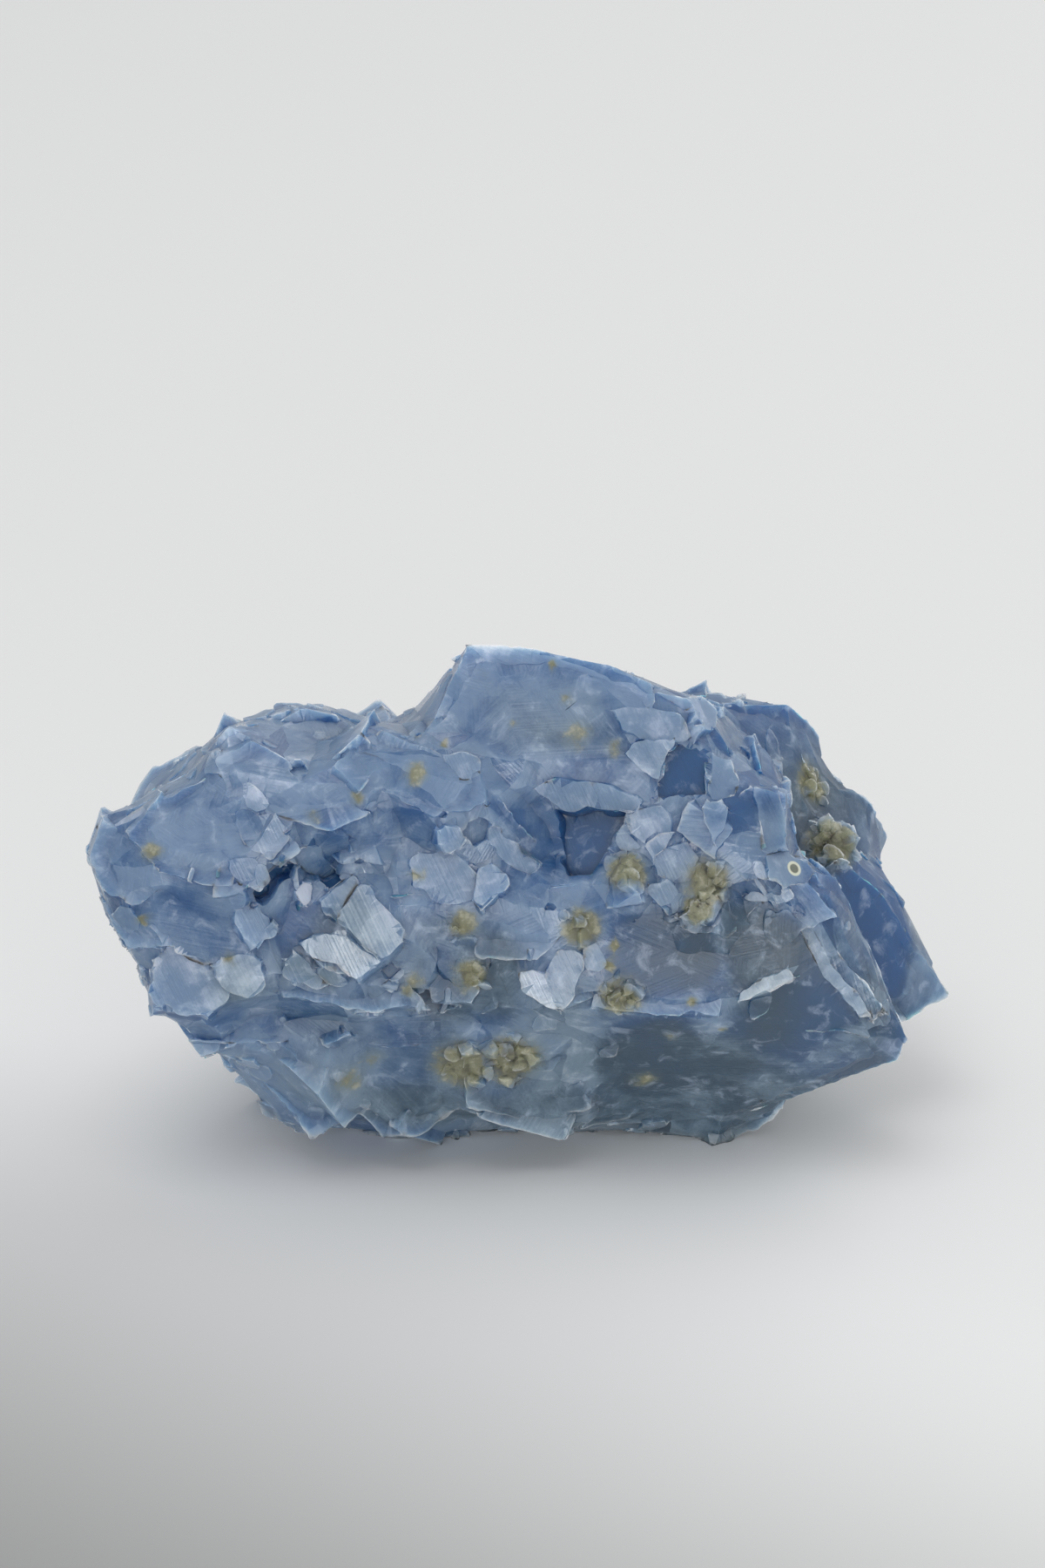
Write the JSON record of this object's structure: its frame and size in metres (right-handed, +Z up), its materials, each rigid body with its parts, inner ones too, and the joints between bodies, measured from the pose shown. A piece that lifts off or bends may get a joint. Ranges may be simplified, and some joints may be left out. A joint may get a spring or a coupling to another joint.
{
  "type": "rough blue calcite specimen",
  "caption": "Rough hand specimen of coarse-grained blue calcite with flat cleavage faces, broken ledges and olive mineral lumps, resting on a small flat spot.",
  "frame": {"origin": "on the surface that the stone rests on, under the middle of its bounding box", "axes": "+X along the stone towards the pointed rear wedge, +Z up, -Y towards the side with the tall cleavage face"},
  "size_m": [0.0712, 0.04, 0.0451],
  "materials": {
    "calcite": "satin, translucent, with brighter cleavage faces"
  },
  "bodies": {
    "root": {"blue_calcite": "calcite"}
  },
  "joints": []
}
